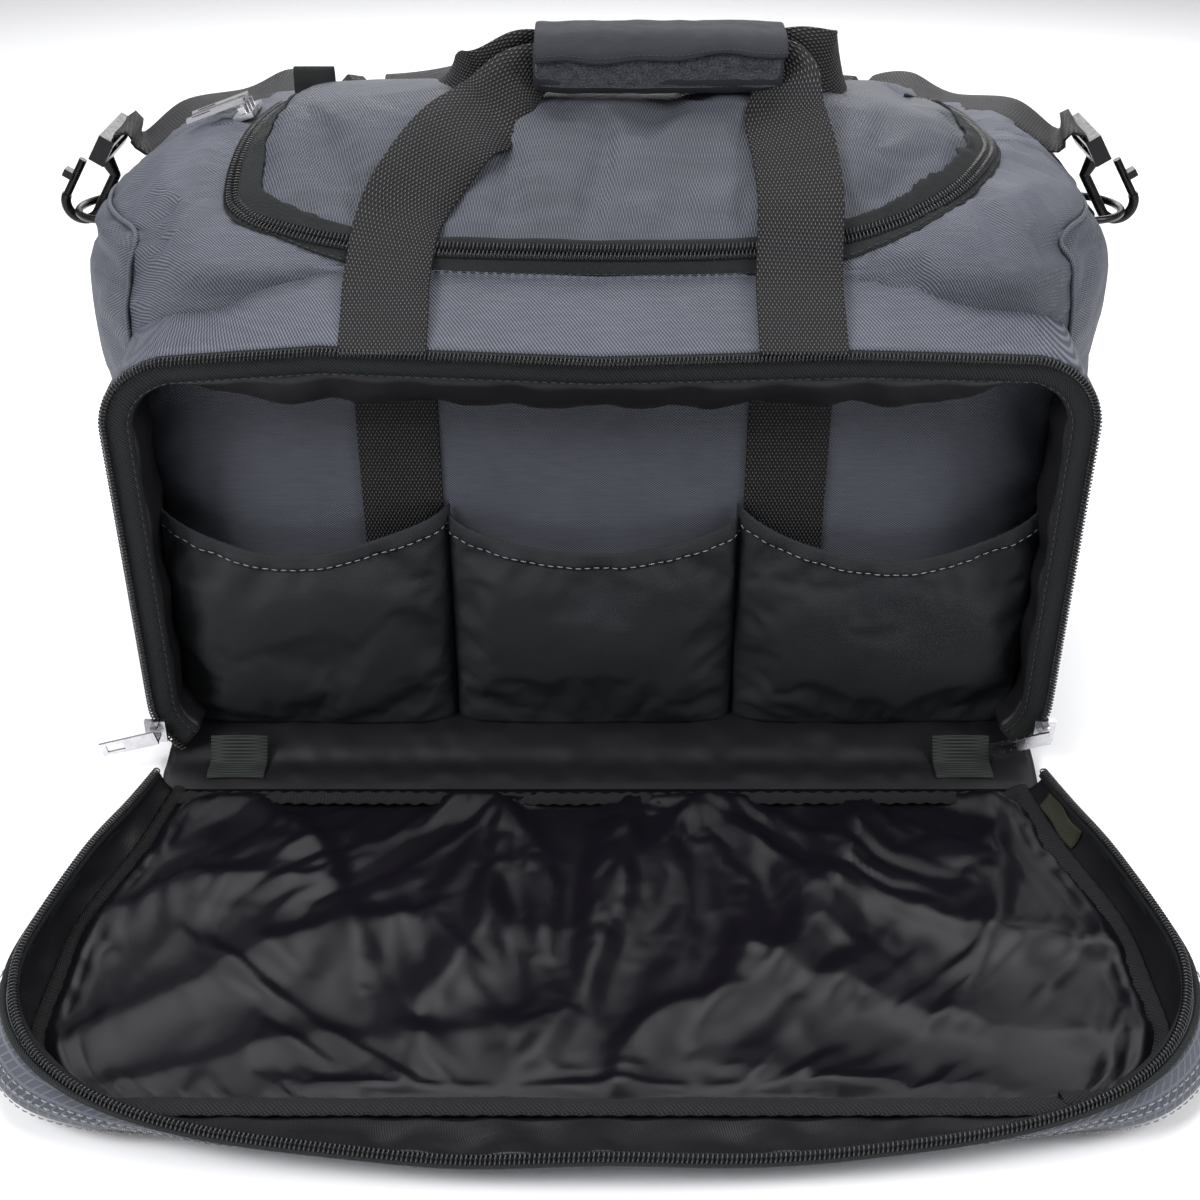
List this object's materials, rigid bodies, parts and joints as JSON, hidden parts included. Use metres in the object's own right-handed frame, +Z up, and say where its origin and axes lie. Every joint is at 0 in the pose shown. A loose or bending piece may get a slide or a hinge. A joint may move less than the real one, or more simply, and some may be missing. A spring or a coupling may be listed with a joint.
{
  "type": "flight bag",
  "caption": "Soft-sided crew duffel bag with a domed zipped lid, padded grip, shoulder strap and a front pocket whose tray-shaped cover folds down flat.",
  "frame": {"origin": "centre of the bag's base, on the ground", "axes": "+X to the bag's right end, +Y towards its back, +Z up"},
  "size_m": [0.561, 0.5955, 0.334],
  "materials": {
    "polyester": "woven, slightly sheened",
    "lining": "smooth coated lining",
    "pocket_fabric": "fine weave, matt",
    "webbing": "ribbed webbing",
    "tape": "twill tape",
    "zip_coil": "moulded coil",
    "board": "stiff sheet",
    "hardware": "moulded nylon",
    "silver": "nickel plated"
  },
  "bodies": {
    "bag": {"base_panel": "polyester", "base_board": "board", "front_wall": "polyester", "back_wall": "polyester", "left_end": "polyester", "right_end": "polyester", "deck": "polyester", "lid_zip_outer": "zip_coil", "pocket_gusset_top_bottom": "lining", "pocket_gusset_sides": "lining", "pocket_zip": "zip_coil", "organiser_left": "pocket_fabric", "organiser_middle": "pocket_fabric", "organiser_right": "pocket_fabric", "hinge_strip": "lining", "front_wall_straps": "webbing", "back_wall_straps": "webbing", "ring_tab_left": "webbing", "ring_tab_right": "webbing", "strap_right": "webbing", "strap_middle": "webbing", "strap_left": "webbing", "strap_adjuster": "hardware", "strap_keeper": "hardware", "swivel_eye_left": "hardware", "swivel_eye_right": "hardware"},
    "cover": {"flap_panel": "polyester", "flap_lining": "lining", "flap_gusset_left": "lining", "flap_gusset_right": "lining", "flap_binding": "tape", "flap_zip_sides": "zip_coil"},
    "cover_lip": {"flap_gusset_front": "lining", "flap_zip_front": "zip_coil"},
    "lid": {"lid_panel": "polyester", "lid_zip_inner": "zip_coil", "zip_end_tab": "tape"},
    "front_handle": {"front_leg_left": "webbing", "front_leg_right": "webbing", "front_bar": "webbing", "grip_pad": "pocket_fabric"},
    "back_handle": {"back_leg_left": "webbing", "back_leg_right": "webbing", "back_bar": "webbing", "grip_back": "pocket_fabric"},
    "wrap_flap": {"grip_flap": "pocket_fabric"},
    "ring_left": {"d_ring_left": "hardware"},
    "snap_left": {"hook_left": "hardware"},
    "gate_left": {"hook_gate_left": "hardware"},
    "cover_slider_left": {"pocket_slider_left": "silver"},
    "cover_pull_left": {"pocket_pull_left": "silver"},
    "ring_right": {"d_ring_right": "hardware"},
    "snap_right": {"hook_right": "hardware"},
    "gate_right": {"hook_gate_right": "hardware"},
    "cover_slider_right": {"pocket_slider_right": "silver"},
    "cover_pull_right": {"pocket_pull_right": "silver"},
    "lid_slider_front_body": {"lid_slider_front": "silver"},
    "lid_pull_front_body": {"lid_pull_front": "silver"},
    "lid_slider_back_body": {"lid_slider_back": "silver"},
    "lid_pull_back_body": {"lid_pull_back": "silver"}
  },
  "joints": [
    {"name": "cover_hinge", "type": "hinge", "parent": "bag", "child": "cover", "pos_m": [0, -0.188, 0.002], "axis": [-1, 0, 0], "range_deg": [0, 82]},
    {"name": "cover_lip_fold", "type": "hinge", "parent": "cover", "child": "cover_lip", "pos_m": [0, -0.3844, 0.001], "axis": [-1, 0, 0], "range_deg": [0, 61]},
    {"name": "lid_hinge", "type": "hinge", "parent": "bag", "child": "lid", "pos_m": [0, 0.025, 0.286], "axis": [-1, 0, 0], "range_deg": [0, 75]},
    {"name": "front_handle_swing", "type": "hinge", "parent": "bag", "child": "front_handle", "pos_m": [0, -0.129, 0.237], "axis": [1, 0, 0], "range_deg": [0, 128]},
    {"name": "back_handle_swing", "type": "hinge", "parent": "bag", "child": "back_handle", "pos_m": [0, 0.129, 0.237], "axis": [-1, 0, 0], "range_deg": [0, 91]},
    {"name": "wrap_flap_hinge", "type": "hinge", "parent": "back_handle", "child": "wrap_flap", "pos_m": [0.026, -0.026, 0.334], "axis": [-1, 0, 0], "range_deg": [0, 120]},
    {"name": "ring_lift_left", "type": "hinge", "parent": "bag", "child": "ring_left", "pos_m": [-0.25, 0.022, 0.222], "axis": [0, 1, 0], "range_deg": [0, 5]},
    {"name": "snap_swivel_left", "type": "hinge", "parent": "bag", "child": "snap_left", "pos_m": [-0.25139, 0.022, 0.25338], "axis": [0.5299, 0, 0.848], "range_deg": [-15, 15]},
    {"name": "snap_gate_left", "type": "hinge", "parent": "snap_left", "child": "gate_left", "pos_m": [-0.26579, 0.022, 0.24657], "axis": [0, -1, 0], "range_deg": [0, 12], "stiffness_Nm_per_rad": 0.02, "springref_deg": -11.46},
    {"name": "cover_slide_left", "type": "slide", "parent": "bag", "child": "cover_slider_left", "axis": [0, 0, 1], "range_m": [0, 0.1301]},
    {"name": "ring_lift_right", "type": "hinge", "parent": "bag", "child": "ring_right", "pos_m": [0.25, 0.022, 0.222], "axis": [0, -1, 0], "range_deg": [0, 5]},
    {"name": "snap_swivel_right", "type": "hinge", "parent": "bag", "child": "snap_right", "pos_m": [0.25139, 0.022, 0.25338], "axis": [-0.5299, 0, 0.848], "range_deg": [-15, 15]},
    {"name": "snap_gate_right", "type": "hinge", "parent": "snap_right", "child": "gate_right", "pos_m": [0.26579, 0.022, 0.24657], "axis": [0, 1, 0], "range_deg": [0, 12], "stiffness_Nm_per_rad": 0.02, "springref_deg": -11.46},
    {"name": "cover_slide_right", "type": "slide", "parent": "bag", "child": "cover_slider_right", "axis": [0, 0, 1], "range_m": [0, 0.1301]},
    {"name": "cover_pull_flip_left", "type": "hinge", "parent": "cover_slider_left", "child": "cover_pull_left", "pos_m": [-0.216, -0.1718, 0.022], "axis": [-0.2588, 0, 0.9659], "range_deg": [0, 15]},
    {"name": "cover_pull_flip_right", "type": "hinge", "parent": "cover_slider_right", "child": "cover_pull_right", "pos_m": [0.216, -0.1718, 0.022], "axis": [-0.2588, 0, 0.9659], "range_deg": [0, 85]},
    {"name": "lid_slide_front", "type": "slide", "parent": "bag", "child": "lid_slider_front_body", "axis": [0, -1, 0], "range_m": [0, 0.02]},
    {"name": "lid_pull_flip_front", "type": "hinge", "parent": "lid_slider_front_body", "child": "lid_pull_front_body", "pos_m": [-0.17187, -0.022, 0.28774], "axis": [-0.1651, 0.9848, -0.0537], "range_deg": [0, 110]},
    {"name": "lid_slide_back", "type": "slide", "parent": "bag", "child": "lid_slider_back_body", "axis": [0, -1, 0], "range_m": [0, 0.0101]},
    {"name": "lid_pull_flip_back", "type": "hinge", "parent": "lid_slider_back_body", "child": "lid_pull_back_body", "pos_m": [-0.17187, -0.009, 0.28774], "axis": [-0.1651, 0.9848, -0.0537], "range_deg": [0, 110]}
  ],
  "couplings": [
    {"joint": "cover_lip_fold", "follows": "cover_hinge", "ratio": 0.7317},
    {"joint": "cover_slide_left", "follows": "cover_hinge", "m_per_rad": 0.09083},
    {"joint": "cover_slide_right", "follows": "cover_hinge", "m_per_rad": 0.09083},
    {"joint": "front_handle_swing", "follows": "lid_hinge", "ratio": 1.7},
    {"joint": "back_handle_swing", "follows": "lid_hinge", "ratio": 1.2},
    {"joint": "lid_slide_back", "follows": "lid_slide_front", "ratio": 0.5}
  ]
}
